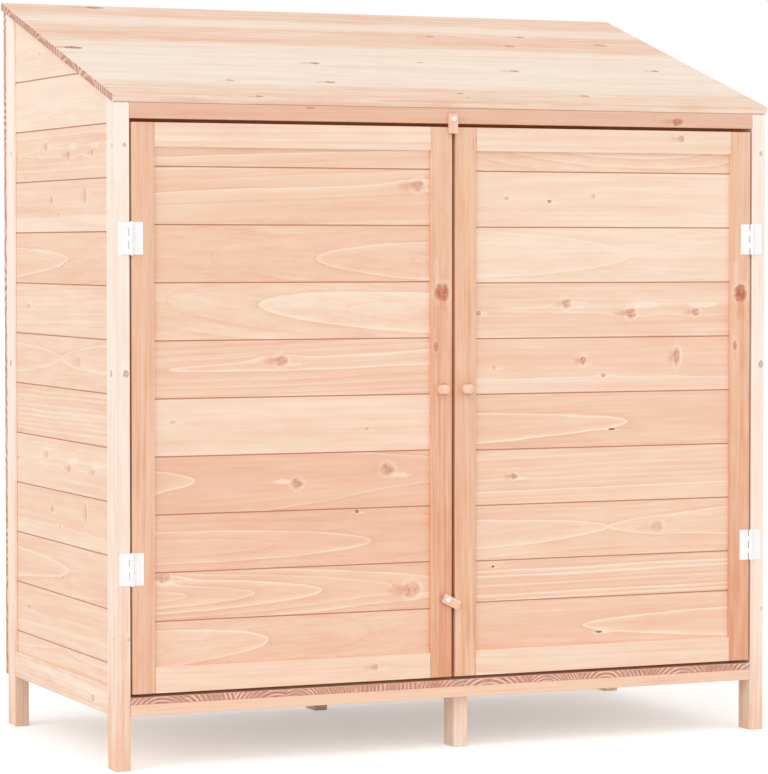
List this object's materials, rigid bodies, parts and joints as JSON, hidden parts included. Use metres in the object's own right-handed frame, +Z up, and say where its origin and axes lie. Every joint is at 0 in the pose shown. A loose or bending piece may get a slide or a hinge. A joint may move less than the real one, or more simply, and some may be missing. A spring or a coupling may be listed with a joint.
{
  "type": "wooden garden shed",
  "caption": "Small wooden garden shed on legs with a lean-to roof, boarded walls and floor, and framed boarded double doors on butt hinges, shut by turn buttons.",
  "frame": {"origin": "on the ground, under the middle of the outer box", "axes": "+Z up, +X to the right as seen from the front, the doors face -Y"},
  "size_m": [1.02, 0.5402, 1.0842],
  "materials": {
    "post_wood": "planed bare fir, pale",
    "stile_wood": "planed bare fir, warm",
    "board_wood": "planed bare fir boards",
    "deck_wood": "planed bare fir boards",
    "turned_wood": "sanded bare wood",
    "hinge_metal": "white enamel",
    "screw_metal": "bright zinc"
  },
  "bodies": {
    "shed": {"front_post_left": "post_wood", "front_post_right": "post_wood", "rear_post_left": "post_wood", "rear_post_right": "post_wood", "front_centre_leg": "post_wood", "rear_centre_leg": "post_wood", "header_rail": "stile_wood", "front_floor_rail": "stile_wood", "rear_floor_rail": "stile_wood", "centre_joist": "post_wood", "floor_panel": "deck_wood", "left_bottom_rail": "post_wood", "right_bottom_rail": "post_wood", "left_wall_boards": "board_wood", "right_wall_boards": "board_wood", "back_wall_boards": "board_wood", "left_roof_batten": "post_wood", "right_roof_batten": "post_wood", "roof_panel": "deck_wood", "left_hinge_post_leaves": "hinge_metal", "right_hinge_post_leaves": "hinge_metal", "left_hinge_pins": "screw_metal", "right_hinge_pins": "screw_metal", "top_button_screw": "screw_metal"},
    "left_door": {"left_door_hinge_stile": "stile_wood", "left_door_closing_stile": "stile_wood", "left_door_top_rail": "post_wood", "left_door_bottom_rail": "post_wood", "left_door_boards": "board_wood", "left_door_knob": "turned_wood", "left_hinge_door_leaves": "hinge_metal", "bottom_button_screw": "screw_metal"},
    "right_door": {"right_door_hinge_stile": "stile_wood", "right_door_closing_stile": "stile_wood", "right_door_top_rail": "post_wood", "right_door_bottom_rail": "post_wood", "right_door_boards": "board_wood", "right_door_knob": "turned_wood", "right_hinge_door_leaves": "hinge_metal"},
    "top_turn_button": {"top_button": "turned_wood"},
    "bottom_turn_button": {"bottom_button": "turned_wood"}
  },
  "joints": [
    {"name": "left_door_swing", "type": "hinge", "parent": "shed", "child": "left_door", "pos_m": [-0.484, -0.2551, 0.5], "axis": [0, 0, -1], "range_deg": [0, 170]},
    {"name": "right_door_swing", "type": "hinge", "parent": "shed", "child": "right_door", "pos_m": [0.484, -0.2551, 0.5], "axis": [0, 0, 1], "range_deg": [0, 170]},
    {"name": "top_button_turn", "type": "hinge", "parent": "shed", "child": "top_turn_button", "pos_m": [-0.003, -0.2561, 0.9], "axis": [0, -1, 0], "range_deg": [-90, 90]},
    {"name": "bottom_button_turn", "type": "hinge", "parent": "left_door", "child": "bottom_turn_button", "pos_m": [-0.0115, -0.2561, 0.216], "axis": [0, -1, 0], "range_deg": [-63, 117]}
  ]
}
